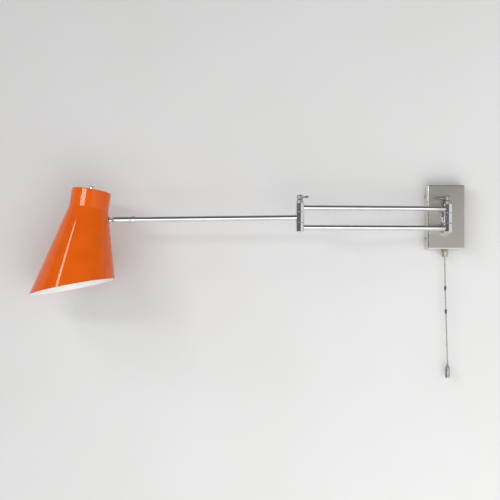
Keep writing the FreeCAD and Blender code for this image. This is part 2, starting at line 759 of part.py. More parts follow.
# --------------------------------------------------------------------------- shade
def make_shade():
    body = new_body("Shade")
    sketch = new_sketch(body, "XZ_Plane", "ShadeSection")
    t, e = s.shade_wall, s.crown_edge
    depth = s.long_side + s.rim_allowance
    foot = s.shade_radius + depth * tangent(s.flare_angle)
    outline(sketch, [
        (0, s.crown_height - t), (s.shade_radius - t, s.crown_height - t),
        (s.shade_radius - t, 0), (foot - t, -depth), (foot, -depth),
        (s.shade_radius, 0), (s.shade_radius, s.crown_height - e),
        (s.shade_radius - e, s.crown_height, e), (0, s.crown_height),
    ])
    shell = body.newObject("PartDesign::Revolution", "Shell")
    shell.Profile = sketch
    shell.ReferenceAxis = (sketch, ["V_Axis"])
    shell.Angle = 360

    wide = foot * 2
    left = s.shade_radius + s.long_side * tangent(s.flare_angle)
    right = s.shade_radius + s.short_side * tangent(s.flare_angle)
    slope = (s.long_side - s.short_side) / (left + right)
    left_cut = -(s.long_side + slope * (wide - left))
    right_cut = -s.short_side + slope * (wide - right)
    below = -(depth * 2)
    pocket(body, "XZ_Plane", "SlantingRim", lambda k: outline(k, [
        (-wide, left_cut), (-wide, below), (wide, below), (wide, right_cut)]), both=True)
    pocket(body, "XY_Plane", "NippleHole",
           lambda k: circle(k, (0, 0), s.nipple_radius + s.running_gap), reverse=True)
    deep = s.stud_inside + s.cut_past
    hole = cylinder("StudHole", s.stud_radius + s.running_gap, deep * 2)
    hole.Placement = stud_foot.multiply(shift(0, 0, -deep))
    node("shade", cut_from("DrilledShade", body, [hole]), shade_frame)


def make_stud():
    """The hollow stud through the side of the shade, with its flange, gasket and nut."""
    g, e = s.shell_gap, s.flange_edge
    neck = g + s.flange_thickness
    tip = neck + s.neck_length
    blank = turned("StudBlank", [
        (s.stud_bore, -s.stud_inside), (s.stud_radius, -s.stud_inside), (s.stud_radius, g),
        (s.flange_radius, g), (s.flange_radius, neck - e), (s.flange_radius - e, neck),
        (s.neck_radius, neck), (s.neck_radius, tip), (s.stud_tip_radius, tip),
        (s.stud_tip_radius, stud_reach), (s.stud_bore, stud_reach),
    ])
    hollow = sphere("StudHollow", ball_pocket, (0, 0, stud_reach))
    node("swivel_stud", cut_from("Stud", blank, [hollow]), shade_frame, stud_foot)
    low = -(s.shade_wall + s.stud_nut_gap + s.stud_nut_height)
    nut = ring("StudNut", s.stud_radius + s.running_gap, s.stud_nut_radius,
               low, low + s.stud_nut_height)
    node("stud_nut", nut, shade_frame, stud_foot)


def make_lampholder():
    """The lampholder under the crown, hung on a threaded nipple with a finial on top."""
    crown = s.crown_height
    roof = crown - s.shade_wall
    nipple = ring("Nipple", s.nipple_bore, s.nipple_radius, roof - s.nipple_depth,
                  crown + s.nipple_rise)
    node("holder_nipple", nipple, shade_frame)
    bore = s.nipple_radius + s.running_gap
    bore_end = crown + s.nipple_rise + s.nipple_end_gap
    tip = crown + s.finial_height
    r, e = s.finial_radius, s.finial_edge
    finial = turned("Finial", [
        (bore, crown), (r, crown), (r, tip - e), (r - e, tip, e), (0, tip), (0, bore_end),
        (bore, bore_end),
    ])
    node("shade_finial", finial, shade_frame)
    washer = ring("HolderWasher", bore, s.holder_washer_radius, holder_top, roof)
    node("holder_washer", washer, shade_frame)
    foot = holder_top - s.holder_height
    inner = s.holder_radius - s.holder_wall
    shoulder = s.holder_shoulder
    holder = turned("Holder", [
        (bore, holder_top), (bore, holder_ceiling), (inner, holder_ceiling), (inner, foot),
        (s.holder_radius, foot), (s.holder_radius, holder_top - shoulder),
        (s.holder_radius - shoulder, holder_top, shoulder),
    ])
    node("lampholder", holder, shade_frame)
    inside = s.holder_radius + s.running_gap
    skirt = ring("Skirt", inside, inside + s.skirt_wall, foot, foot + s.skirt_height)
    node("holder_ring", skirt, shade_frame)
    shell = ring("ContactShell", s.shell_radius - s.shell_wall, s.shell_radius,
                 holder_ceiling - s.shell_height, holder_ceiling)
    node("contact_shell", shell, shade_frame)
    contact = ring("CentreContact", s.contact_bore, s.contact_radius,
                   holder_ceiling - s.contact_height, holder_ceiling)
    node("centre_contact", contact, shade_frame)


def make_bulb():
    """The bulb in the lampholder: a metal cap and a hollow glass with its neck in the cap."""
    top = holder_ceiling - s.contact_height - s.contact_gap
    low = top - s.bulb_cap_height
    r, tip, c = s.bulb_cap_radius, s.bulb_cap_tip_radius, s.bulb_cap_wall
    side_top = top - s.bulb_cap_shoulder
    cap = turned("BulbCap", [
        (r - c, low), (r, low), (r, side_top), (tip, top), (0, top), (0, top - c),
        (tip - c, top - c), (r - c, side_top - c),
    ])
    node("bulb_cap", cap, shade_frame)
    outer, neck = s.bulb_radius, s.bulb_neck_radius
    core, bore = outer - s.bulb_wall, neck - s.bulb_wall
    middle = low - s.bulb_length + outer
    neck_low = low - s.bulb_neck_length
    rise = s.bulb_shoulder_rise
    glass = turned("BulbGlass", [
        (bore, low + s.bulb_neck_depth), (bore, neck_low), (beside(core, rise), middle + rise),
        (core, middle, -core), (0, middle - core, -core), (0, middle - outer),
        (outer, middle, outer), (beside(outer, rise), middle + rise, outer),
        (neck, neck_low), (neck, low + s.bulb_neck_depth),
    ])
    node("bulb_glass", glass, shade_frame)


# --------------------------------------------------------------------------- chain and weight
def make_chain():
    """The pull chain in three stretches, with the two couplings between them, and its weight."""
    for name, top, bottom, radius in chain_pieces():
        run = bottom - top
        rod = cylinder(name + "Rod", radius, run.Length - number(s.chain_joint_gap) * 2)
        node(name, rod, Placement(top, Rotation(UP, run)), shift(0, 0, s.chain_joint_gap))
    weight_top = Vector(*CHAIN[-1])
    h, n = s.weight_height, s.weight_neck_height
    r, q = s.weight_radius, s.weight_neck_radius
    e = s.weight_edge
    weight = turned("Weight", [
        (0, 0), (q, 0), (q, -n), (r, -n - s.weight_shoulder), (r, e - h), (r - e, -h), (0, -h),
    ])
    node("pull_weight", weight, Placement(weight_top, Rotation()))


def chain_pieces():
    """Name, top, bottom and radius of each piece of the chain."""
    points = [Vector(*p) for p in CHAIN]
    names = ["chain_top", "upper_chain_coupling", "chain_middle",
             "lower_chain_coupling", "chain_bottom"]
    for count, name in enumerate(names):
        radius = s.connector_radius if "coupling" in name else s.chain_radius
        yield name, points[count], points[count + 1], radius


make_cover()
make_mounting_plate()
make_side_screws()
make_grommet()
make_base_hub()
make_pull_switch()
make_terminal_block()
make_knuckle_washers("base_washers", base_axis)
make_knuckle_washers("outer_washers", outer_knuckle)
make_clamp("base", base_axis, s.base_lever_reach, s.base_lever_heading)
make_clamp("outer", outer_arm, s.outer_lever_reach, s.outer_lever_heading)
make_inner_arm()
make_outer_arm()
make_swivel()
make_shade()
make_stud()
make_lampholder()
make_bulb()
make_chain()

# --------------------------------------------------------------------------- checks and export
doc.recompute()
for item in doc.Objects:
    if "Invalid" in item.State or "Error" in item.State:
        raise SystemExit(f"{item.Name} failed: {item.State}")
os.makedirs("parts", exist_ok=True)
for piece in nodes:
    shape = piece.Shape
    if shape.isNull() or not shape.isValid() or not shape.Solids:
        raise SystemExit(f"{piece.Label} is not a valid solid")
for piece in nodes:
    piece.Shape.exportStep(f"parts/{piece.Label}.step")
    print(f"{piece.Label:24s} {len(piece.Shape.Solids)} solids {piece.Shape.Volume:12.1f} mm3")
print(len(nodes), "nodes; ball centre", ball_centre.Base, "outer axis", outer_knuckle.Base)
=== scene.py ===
"""Accordion wall lamp: the looks of every piece, a pale wall with painted light and shade in its colour, and
soft light.

The sizes are millimetres, as the lamp's maker has them, and MM turns them into metres. +Z is up, the wall
is at Y 0 and the lamp stands out towards -Y with its arms reaching towards -X. An outline is a list of
(radius, height) points, which the lathe spins round the upright axis.
"""
import json
import math

import bpy
from mathutils import Matrix, Vector


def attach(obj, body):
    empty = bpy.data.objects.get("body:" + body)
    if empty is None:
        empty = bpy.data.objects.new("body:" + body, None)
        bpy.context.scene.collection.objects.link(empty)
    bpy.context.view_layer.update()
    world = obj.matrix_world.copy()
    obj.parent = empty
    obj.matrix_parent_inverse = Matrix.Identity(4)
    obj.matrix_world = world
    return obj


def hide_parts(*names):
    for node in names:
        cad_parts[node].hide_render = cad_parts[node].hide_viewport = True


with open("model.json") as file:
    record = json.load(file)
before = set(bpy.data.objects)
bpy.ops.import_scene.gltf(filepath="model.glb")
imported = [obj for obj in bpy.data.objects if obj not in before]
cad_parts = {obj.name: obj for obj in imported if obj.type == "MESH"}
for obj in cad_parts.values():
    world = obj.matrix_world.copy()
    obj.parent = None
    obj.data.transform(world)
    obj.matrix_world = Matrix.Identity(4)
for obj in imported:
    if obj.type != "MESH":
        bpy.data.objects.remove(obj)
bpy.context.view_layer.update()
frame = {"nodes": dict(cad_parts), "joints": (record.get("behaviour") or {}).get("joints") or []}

MM = 0.001

# ---------------------------------------------------------------------- sizes that several pieces share
BOX_WIDTH, BOX_HEIGHT, BOX_DEPTH, BOX_WALL = 70, 120, 30, 1.5
KNUCKLE_DROP, KNUCKLE_STANDOFF, STEM_RADIUS = 4, 15, 5
SWITCH_SETBACK, NOZZLE_THREAD_RADIUS = 15, 4.5
SIDE_SCREW_RISE, SIDE_SCREW_SETBACK, SIDE_SCREW_RADIUS = 40, 8, 1.95
SHADE_RADIUS, FLARE_ANGLE, SHADE_LEAN = 36, 14.9, 9.3
STUD_DROP, STUD_REACH, STUD_RADIUS = 14.5, 9.93, 3
RUNNING_GAP = 0.05

# ---------------------------------------------------------------------- places
JOINTS = {joint["name"]: joint for joint in frame["joints"]}
UPRIGHT = Matrix.Identity(4)


def at(*place):
    """A place in millimetres."""
    return Matrix.Translation(Vector(place) * MM)


def turned_about(axis, degrees):
    """A turn about one of the main axes."""
    return Matrix.Rotation(math.radians(degrees), 4, axis)


def knuckle(joint):
    """The upright frame of a knuckle, in the middle of its pin."""
    return Matrix.Translation(JOINTS[joint]["pos_m"])


BASE_KNUCKLE = knuckle("inner_arm_swing")
OUTER_KNUCKLE = knuckle("outer_arm_swing")
BALL = Matrix.Translation(JOINTS["swivel_roll"]["pos_m"])
ARM_END = BALL @ Vector(JOINTS["swivel_roll"]["axis"]).to_track_quat("Z", "Y").to_matrix().to_4x4()
FLARE = math.tan(math.radians(FLARE_ANGLE))
STUD_IN_SHADE = at(SHADE_RADIUS + STUD_DROP * FLARE, 0, -STUD_DROP) @ turned_about("Y", 90 - FLARE_ANGLE)
BALL_IN_SHADE = (STUD_IN_SHADE @ at(0, 0, STUD_REACH)).translation
SHADE = BALL @ turned_about("Y", SHADE_LEAN) @ Matrix.Translation(-BALL_IN_SHADE)
STUD = SHADE @ STUD_IN_SHADE
TO_THE_WALL = turned_about("X", -90)

# ---------------------------------------------------------------------- camera
CAMERA_PLACE = (-470.7, -2300, -249.1)
PHOTO_SIDE, FOCAL_PIXELS = 500, 1212
SENSOR_WIDTH = 36
SHIFT_RIGHT, SHIFT_UP = 0.11, 0.20


def make_camera():
    """Square to the wall, from below and left of the box, with the view shifted up and to the right."""
    lens = bpy.data.cameras.new("camera")
    lens.sensor_width = SENSOR_WIDTH
    lens.lens = SENSOR_WIDTH * FOCAL_PIXELS / PHOTO_SIDE
    lens.shift_x = SHIFT_RIGHT
    lens.shift_y = SHIFT_UP
    camera = bpy.data.objects.new("camera", lens)
    bpy.context.scene.collection.objects.link(camera)
    camera.matrix_world = at(*CAMERA_PLACE) @ turned_about("X", 90)
    bpy.context.scene.camera = camera


# ---------------------------------------------------------------------- finishes
NOISE_LOW, NOISE_HIGH = 0.35, 0.65  # the noise's middle range
CLOUD_DETAIL, FINE_DETAIL = 4.0, 3.0
SMUDGE_SHARE = 0.4  # how large the marks in the gloss are, beside those in the colour


def new_finish(name, metallic, **sockets):
    """A finish with the numbers that are the same all over it."""
    material = bpy.data.materials.new(name)
    material.use_nodes = True
    shader = material.node_tree.nodes["Principled BSDF"]
    shader.inputs["Metallic"].default_value = metallic
    for socket, value in sockets.items():
        shader.inputs[socket.replace("_", " ")].default_value = value
    return material


def link(owner, source, target):
    """Joins two sockets of a finish or of the room."""
    owner.node_tree.links.new(source, target)


def shader_socket(material, name):
    """A socket of the finish's main shader."""
    return material.node_tree.nodes["Principled BSDF"].inputs[name]


def pattern(material, size, stretch=(1, 1, 1), detail=FINE_DETAIL):
    """Cloudy noise with marks about size millimetres across, drawn out along an axis by stretch."""
    nodes = material.node_tree.nodes
    place = nodes.new("ShaderNodeTexCoord")
    mapping = nodes.new("ShaderNodeMapping")
    mapping.inputs["Scale"].default_value = [1 / way for way in stretch]
    noise = nodes.new("ShaderNodeTexNoise")
    noise.inputs["Scale"].default_value = 1 / (size * MM)
    noise.inputs["Detail"].default_value = detail
    link(material, place.outputs["Object"], mapping.inputs["Vector"])
    link(material, mapping.outputs["Vector"], noise.inputs["Vector"])
    return noise.outputs["Fac"]


def between(material, source, low, high):
    """Turns the pattern's middle range into numbers or colours from low to high."""
    nodes = material.node_tree.nodes
    if isinstance(low, tuple):
        ramp = nodes.new("ShaderNodeValToRGB")
        for stop, place, colour in zip(ramp.color_ramp.elements, (NOISE_LOW, NOISE_HIGH), (low, high)):
            stop.position = place
            stop.color = (*colour, 1)
        link(material, source, ramp.inputs["Fac"])
        return ramp.outputs["Color"]
    scale = nodes.new("ShaderNodeMapRange")
    scale.inputs["From Min"].default_value = NOISE_LOW
    scale.inputs["From Max"].default_value = NOISE_HIGH
    scale.inputs["To Min"].default_value = low
    scale.inputs["To Max"].default_value = high
    link(material, source, scale.inputs["Value"])
    return scale.outputs["Result"]


def raise_surface(material, source, depth):
    """Lifts the surface by the pattern, depth millimetres at most."""
    lift = material.node_tree.nodes.new("ShaderNodeBump")
    lift.inputs["Distance"].default_value = depth * MM
    link(material, source, lift.inputs["Height"])
    link(material, lift.outputs["Normal"], shader_socket(material, "Normal"))


def coat_finish(name, dark, light, gloss, marks, grain, depth, metallic=0.0, stretch=(1, 1, 1), **sockets):
    """A finish whose colour, gloss and surface each have their own pattern.

    Dark and light are the ends of its colour, gloss its lowest and highest roughness. Marks is the size of
    the cloudy marks and grain that of the fine ones, which are depth high, all in millimetres.
    """
    material = new_finish(name, metallic, **sockets)
    cloud = pattern(material, marks, detail=CLOUD_DETAIL)
    link(material, between(material, cloud, dark, light), shader_socket(material, "Base Color"))
    smudge = pattern(material, marks * SMUDGE_SHARE, stretch)
    link(material, between(material, smudge, *gloss), shader_socket(material, "Roughness"))
    raise_surface(material, pattern(material, grain, stretch), depth)
    return material


FINISH = {
    "plate_metal": coat_finish(
        "satin_nickel", dark=(0.53, 0.50, 0.455), light=(0.56, 0.53, 0.485), gloss=(0.32, 0.35),
        marks=60, grain=0.6, depth=0.0006, metallic=1.0, stretch=(1, 1, 25)),
    "plate_edge": coat_finish(
        "polished_nickel", dark=(0.57, 0.54, 0.49), light=(0.62, 0.59, 0.54), gloss=(0.10, 0.15),
        marks=30, grain=0.6, depth=0.0006, metallic=1.0, Coat_Weight=1.0, Coat_Roughness=0.05),
    "chrome": coat_finish(
        "polished_chrome", dark=(0.70, 0.70, 0.71), light=(0.78, 0.78, 0.79), gloss=(0.03, 0.065),
        marks=25, grain=1.2, depth=0.001, metallic=1.0, stretch=(6, 1, 1)),
    "satin_chrome": coat_finish(
        "satin_chrome", dark=(0.40, 0.40, 0.40), light=(0.48, 0.48, 0.48), gloss=(0.34, 0.44),
        marks=9, grain=0.5, depth=0.003, metallic=1.0),
    "lever_chrome": coat_finish(
        "lever_chrome", dark=(0.26, 0.26, 0.26), light=(0.34, 0.34, 0.34), gloss=(0.22, 0.32),
        marks=9, grain=0.5, depth=0.002, metallic=1.0),
    "zinc": coat_finish(
        "zinc_plate", dark=(0.50, 0.51, 0.53), light=(0.68, 0.67, 0.62), gloss=(0.25, 0.45),
        marks=14, grain=0.8, depth=0.01, metallic=1.0),
    "nickel_warm": coat_finish(
        "warm_nickel", dark=(0.47, 0.43, 0.35), light=(0.58, 0.54, 0.46), gloss=(0.24, 0.36),
        marks=8, grain=0.6, depth=0.004, metallic=1.0),
    "brass": coat_finish(
        "bare_brass", dark=(0.62, 0.45, 0.20), light=(0.78, 0.60, 0.30), gloss=(0.18, 0.4),
        marks=6, grain=0.5, depth=0.01, metallic=1.0),
    "enamel_orange": coat_finish(
        "orange_enamel", dark=(0.69, 0.098, 0.003), light=(0.74, 0.115, 0.004), gloss=(0.04, 0.07),
        marks=45, grain=1.6, depth=0.002, Specular_IOR_Level=0.32),
    "enamel_white": coat_finish(
        "white_enamel", dark=(0.83, 0.82, 0.79), light=(0.88, 0.87, 0.85), gloss=(0.28, 0.38),
        marks=30, grain=1.5, depth=0.008),
    "dull_nickel": coat_finish(
        "dull_nickel", dark=(0.36, 0.36, 0.355), light=(0.48, 0.48, 0.47), gloss=(0.2, 0.34),
        marks=7, grain=0.5, depth=0.006, metallic=1.0),
    "dark_nickel": coat_finish(
        "darkened_nickel", dark=(0.10, 0.10, 0.10), light=(0.19, 0.19, 0.185), gloss=(0.25, 0.4),
        marks=5, grain=0.5, depth=0.006, metallic=1.0),
    "nylon": coat_finish(
        "grey_nylon", dark=(0.30, 0.30, 0.29), light=(0.38, 0.38, 0.37), gloss=(0.4, 0.55),
        marks=5, grain=0.4, depth=0.01),
    "holder_plastic": coat_finish(
        "black_plastic", dark=(0.022, 0.022, 0.023), light=(0.04, 0.039, 0.038), gloss=(0.22, 0.4),
        marks=12, grain=0.5, depth=0.012),
    "terminal_plastic": coat_finish(
        "white_plastic", dark=(0.80, 0.79, 0.75), light=(0.88, 0.88, 0.86), gloss=(0.35, 0.5),
        marks=10, grain=0.5, depth=0.012),
    "rubber": coat_finish(
        "rubber", dark=(0.018, 0.018, 0.018), light=(0.045, 0.043, 0.041), gloss=(0.6, 0.8),
        marks=6, grain=0.4, depth=0.03),
    "lead_insulation": coat_finish(
        "lead_insulation", dark=(0.68, 0.68, 0.64), light=(0.78, 0.78, 0.75), gloss=(0.35, 0.5),
        marks=9, grain=0.6, depth=0.012),
    "frosted_glass": coat_finish(
        "frosted_glass", dark=(0.90, 0.90, 0.87), light=(0.96, 0.96, 0.94), gloss=(0.28, 0.4),
        marks=18, grain=0.5, depth=0.006, Transmission_Weight=0.35, Subsurface_Weight=0.2),
}

# ---------------------------------------------------------------------- outlines
SUPPORT_GAP = 0.3
LONG_RUN = SUPPORT_GAP * 4


def arc(centre, radius, start, end, steps):
    """Points on an arc of the outline, from one angle to another, in degrees from the outward direction."""
    angles = [math.radians(start + (end - start) * step / steps) for step in range(steps + 1)]
    return [(centre[0] + radius * math.cos(a), centre[1] + radius * math.sin(a)) for a in angles]


def raised(outline, height):
    """The same outline, with its heights counted from another height."""
    return [(radius, height + rise) for radius, rise in outline]


def with_support(outline):
    """Adds a point close to each end of a long run, so that a round edge doesn't shade the flat beside it."""
    points = [outline[0]]
    for start, end in zip(outline, outline[1:]):
        run = Vector(end) - Vector(start)
        if run.length > LONG_RUN:
            step = run.normalized() * SUPPORT_GAP
            points += [tuple(Vector(start) + step), tuple(Vector(end) - step)]
        points.append(end)
    return points


# ---------------------------------------------------------------------- ways of making
MERGE_GAP = 0.002


def deselect():
    """Nothing is selected, and nothing is being edited."""
    if bpy.context.object and bpy.context.object.mode != "OBJECT":
        bpy.ops.object.mode_set(mode="OBJECT")
    bpy.ops.object.select_all(action="DESELECT")


def pick(piece):
    """Only this piece is selected, and it is the active one."""
    deselect()
    piece.select_set(True)
    bpy.context.view_layer.objects.active = piece


def added(name):
    """The primitive that was just added, named, and open for editing."""
    piece = bpy.context.object
    piece.name = name
    piece.data.name = name
    bpy.ops.object.mode_set(mode="EDIT")
    return piece


def select_faces(piece, wanted):
    """Selects the wanted faces alone, in a piece that is open for editing."""
    bpy.ops.mesh.select_all(action="DESELECT")
    bpy.ops.object.mode_set(mode="OBJECT")
    for face in piece.data.polygons:
        face.select = wanted(face)
    bpy.ops.object.mode_set(mode="EDIT")


def lathe(name, outline, sides=48):
    """Draws half of a piece's outline and spins it round the upright axis."""
    deselect()
    bpy.ops.mesh.primitive_plane_add(size=MM)
    piece = added(name)
    bpy.ops.mesh.merge(type="CENTER")
    here = Vector((0, 0, 0))
    for count, (radius, height) in enumerate(with_support(outline)):
        there = Vector((radius, 0, height)) * MM
        if count:
            bpy.ops.mesh.extrude_vertices_move(TRANSFORM_OT_translate={"value": there - here})
        else:
            bpy.ops.transform.translate(value=there - here)
        here = there
    bpy.ops.mesh.select_all(action="SELECT")
    bpy.ops.mesh.spin(steps=sides, angle=math.tau, center=(0, 0, 0), axis=(0, 0, 1))
    bpy.ops.mesh.select_all(action="SELECT")
    bpy.ops.mesh.remove_doubles(threshold=MERGE_GAP * MM)
    bpy.ops.mesh.normals_make_consistent(inside=False)
    bpy.ops.object.mode_set(mode="OBJECT")
    return piece


def modify(piece, kind, **settings):
    """Adds a modifier and applies it."""
    pick(piece)
    modifier = piece.modifiers.new(kind.lower(), kind)
    for setting, value in settings.items():
        setattr(modifier, setting, value)
    bpy.ops.object.modifier_apply(modifier=modifier.name)


def soften(piece, width, segments, angle):
    """Rounds the edges that turn by more than an angle, width in millimetres."""
    modify(piece, "BEVEL", width=width * MM, segments=segments, limit_method="ANGLE",
           angle_limit=math.radians(angle), use_clamp_overlap=True)


def cut(piece, tool):
    """Takes a tool's shape out of a piece, and the tool away."""
    bpy.context.view_layer.update()
    modify(piece, "BOOLEAN", operation="DIFFERENCE", object=tool, solver="EXACT")
    bpy.data.objects.remove(tool)


def drill(piece, place, radius, depth):
    """Cuts a round hole, from a place along its own +Z."""
    deselect()
    bpy.ops.mesh.primitive_cylinder_add(vertices=32, radius=radius * MM, depth=depth * MM,
                                        location=(0, 0, depth * MM / 2))
    tool = bpy.context.object
    bpy.ops.object.transform_apply()
    tool.matrix_world = place
    cut(piece, tool)


def flute(piece, beyond, kept):
    """Draws in every other upright line of points that lies beyond a radius, to a share of its radius."""
    def side(point):
        return round(math.degrees(math.atan2(point.co.y, point.co.x)), 2)

    odd = set(sorted({side(point) for point in piece.data.vertices})[::2])
    pick(piece)
    for part in (*piece.data.polygons, *piece.data.edges):
        part.select = False
    for point in piece.data.vertices:
        point.select = side(point) in odd and math.hypot(point.co.x, point.co.y) > beyond * MM
    bpy.context.tool_settings.mesh_select_mode = (True, False, False)
    bpy.ops.object.mode_set(mode="EDIT")
    bpy.ops.transform.resize(value=(kept, kept, 1), center_override=(0, 0, 0))
    bpy.ops.object.mode_set(mode="OBJECT")


def seat(piece, place, smooth=35):
    """Puts a piece in its place, with the place in its mesh, and smooths what isn't an edge."""
    pick(piece)
    piece.matrix_world = place @ piece.matrix_world
    bpy.context.view_layer.update()
    bpy.ops.object.transform_apply(location=True, rotation=True, scale=True)
    bpy.ops.object.shade_smooth_by_angle(angle=math.radians(smooth))
    return piece


def fit(piece, body, slot, *nodes):
    """Gives a piece its finish, the body it goes with and the pieces of the frame that it stands for."""
    if not piece.data.materials:
        piece.data.materials.append(FINISH[slot])
    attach(piece, body)
    if nodes:
        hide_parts(*nodes)


def together(pieces, name):
    """Joins several pieces into one."""
    pick(pieces[0])
    for piece in pieces:
        piece.select_set(True)
    bpy.ops.object.join()
    bpy.context.object.name = name
    return bpy.context.object


def copy_of(piece):
    """A copy of a piece with its own mesh."""
    pick(piece)
    bpy.ops.object.duplicate()
    return bpy.context.object


# ---------------------------------------------------------------------- pull chain
# Where the chain runs, from inside the nozzle down to the weight, past the ends of its two couplings.
CHAIN = [
    (0, -15, -66), (1.0, -15, -128.8), (1.2, -15, -136.3), (2.1, -15, -172.8),
    (2.4, -15, -180.3), (5.2, -15, -275.5),
]
BEAD_RADIUS, BEAD_PITCH, LINK_RADIUS = 1.6, 4.45, 0.5
# A bead's foot is what lies lower than this share of its radius, and the foot itself is about this large.
BEAD_FOOT, BEAD_FOOT_RADIUS = 0.9, 0.62
COUPLING_BORE, COUPLING_END, COUPLING_RADIUS, COUPLING_WAIST = 0.9, 1.7, 2.1, 1.85
COUPLING_TAPER, WAIST_EDGE, WAIST_FLOOR = 0.6, 0.35, 0.1
WEIGHT_OUTLINE = [
    # neck
    (0, 0), (1.9, 0), (2.4, -0.5), (2.4, -3.9),
    # round shoulder
    (3.0, -4.7), *arc((3.2, -6.2), 1.4, 80, 0, steps=4),
    # groove
    (4.6, -9), (4.35, -9.25), (4.35, -9.75), (4.6, -10),
    # body and rounded foot
    (4.6, -25), *arc((3.6, -25), 1.0, 0, -90, steps=4), (0, -26),
]


def chain_line():
    """Points close together along the chain's smooth line."""
    curve = bpy.data.curves.new("chain_route", "CURVE")
    curve.dimensions = "3D"
    spline = curve.splines.new("NURBS")
    spline.points.add(len(CHAIN) - 1)
    for point, place in zip(spline.points, CHAIN):
        point.co = (*(Vector(place) * MM), 1)
    spline.order_u = 3
    spline.use_endpoint_u = True
    spline.resolution_u = 16
    route = bpy.data.objects.new("chain_route", curve)
    bpy.context.scene.collection.objects.link(route)
    line = [point.co.copy() for point in bpy.data.meshes.new_from_object(route).vertices]
    bpy.data.objects.remove(route)
    return line


def along(line, pitch):
    """Places and directions at even steps along a line."""
    left, places = 0.0, []
    for start, end in zip(line, line[1:]):
        run = end - start
        while left <= run.length:
            places.append((start + run.normalized() * left, run.normalized()))
            left += pitch
        left -= run.length
    return places


def make_bead():
    """A bead with the link to the next one standing out of its foot, upright at the origin."""
    deselect()
    bpy.ops.mesh.primitive_uv_sphere_add(segments=12, ring_count=8, radius=BEAD_RADIUS * MM)
    bead = added("bead")
    select_faces(bead, lambda face: face.center.z < -BEAD_RADIUS * BEAD_FOOT * MM)
    narrower = LINK_RADIUS / BEAD_FOOT_RADIUS
    bpy.ops.transform.resize(value=(narrower, narrower, 0))
    gap = (BEAD_PITCH - BEAD_RADIUS * 2) * MM
    bpy.ops.mesh.extrude_region_move(TRANSFORM_OT_translate={"value": (0, 0, -gap)})
    bpy.ops.object.mode_set(mode="OBJECT")
    return bead


def make_coupling(name, top, bottom, node):
    """A clasp round the chain, between two places on it, with a waist in its middle."""
    way = Vector(bottom) - Vector(top)
    length, middle = way.length, way.length / 2
    clasp = lathe(name, [
        (COUPLING_BORE, 0), (COUPLING_END, 0), (COUPLING_RADIUS, COUPLING_TAPER),
        (COUPLING_RADIUS, middle - WAIST_EDGE), (COUPLING_WAIST, middle - WAIST_FLOOR),
        (COUPLING_WAIST, middle + WAIST_FLOOR), (COUPLING_RADIUS, middle + WAIST_EDGE),
        (COUPLING_RADIUS, length - COUPLING_TAPER), (COUPLING_END, length), (COUPLING_BORE, length),
        (COUPLING_BORE, 0),
    ], sides=20)
    seat(clasp, at(*top) @ way.to_track_quat("Z", "Y").to_matrix().to_4x4())
    clasp.data.materials.append(FINISH["dark_nickel"])
    fit(clasp, "chain", "dull_nickel", node)
    return clasp


def make_chain():
    """The ball chain, its two couplings and the weight at its end."""
    line = chain_line()
    bead = make_bead()
    beads = []
    for place, way in along(line, BEAD_PITCH * MM):
        one = copy_of(bead)
        one.matrix_world = Matrix.Translation(place) @ (-way).to_track_quat("Z", "Y").to_matrix().to_4x4()
        beads.append(one)
    bpy.data.objects.remove(bead)
    chain = seat(together(beads, "ball_chain"), UPRIGHT, smooth=60)
    fit(chain, "chain", "dull_nickel", "chain_top", "chain_middle", "chain_bottom")

    couplings = [
        make_coupling("upper_coupling", CHAIN[1], CHAIN[2], "upper_chain_coupling"),
        make_coupling("lower_coupling", CHAIN[3], CHAIN[4], "lower_chain_coupling"),
    ]
    weight = seat(lathe("pull_weight_body", WEIGHT_OUTLINE, sides=32), at(*CHAIN[-1]))
    fit(weight, "chain", "dull_nickel", "pull_weight")


# ---------------------------------------------------------------------- wall box
BOX_EDGE, SIDE_SCREW_GAP = 2, 0.25
# A drill starts a little outside the box, and is longer than the box's wall is thick.
DRILL_START, DRILL_BEYOND = 1, 3
# How far along an axis a face's normal points, if the face looks that way and if it lies flat.
FACING, FLAT = 0.5, 0.999

SCREW_HEAD_HEIGHT = 2.2
SCREW_OUTLINE = [
    # thread
    (0, -7), (1.6, -7), (SIDE_SCREW_RADIUS, -6.4), (SIDE_SCREW_RADIUS, 0),
    # pan head
    (3.6, 0), (3.6, 0.7), *arc((1.6, 0.2), 2.0, 15, 90, steps=5), (0, SCREW_HEAD_HEIGHT),
]
RECESS = (0.8, 3.4, 2.4)  # width, length and height of one blade of the cross, its middle at the head's top
RECESS_TURN = 20  # degrees for each millimetre of rise, so that the recesses don't stand square

ROSETTE_BORE = STEM_RADIUS + RUNNING_GAP
ROSETTE_OUTLINE = [
    # bore and back, with the heights counted from the box's front
    (ROSETTE_BORE, -2), (ROSETTE_BORE, 0), (9, 0),
    # rim, rounded towards the knuckle
    (9, -0.6), *arc((7.6, -0.6), 1.4, 0, -90, steps=5), (ROSETTE_BORE + 0.8, -2), (ROSETTE_BORE, -2),
]

NOZZLE_BORE, NOZZLE_SHOULDER = 2.6, -5.5
NOZZLE_OUTLINE = [
    # thread, up inside the box, with the heights counted from the top of its floor
    (NOZZLE_BORE, 8), (NOZZLE_THREAD_RADIUS, 8), (NOZZLE_THREAD_RADIUS, NOZZLE_SHOULDER),
    # collar
    (6.0, NOZZLE_SHOULDER), (6.2, -5.8), (6.2, -7.7), (6.1, -8.2),
    # body and rounded lip
    (5.7, -14), *arc((5.05, -14.5), 0.6, 0, -90, steps=4),
    # mouth and bore
    (3.2, -15.1), (NOZZLE_BORE, -14.0), (NOZZLE_BORE, 8),
]
NUT_BORE, NUT_RADIUS, NUT_EDGE = NOZZLE_THREAD_RADIUS + RUNNING_GAP, 6.6, 0.5
NUT_FLUTES_BEYOND, NUT_FLUTE_SHARE = 6.3, 0.965


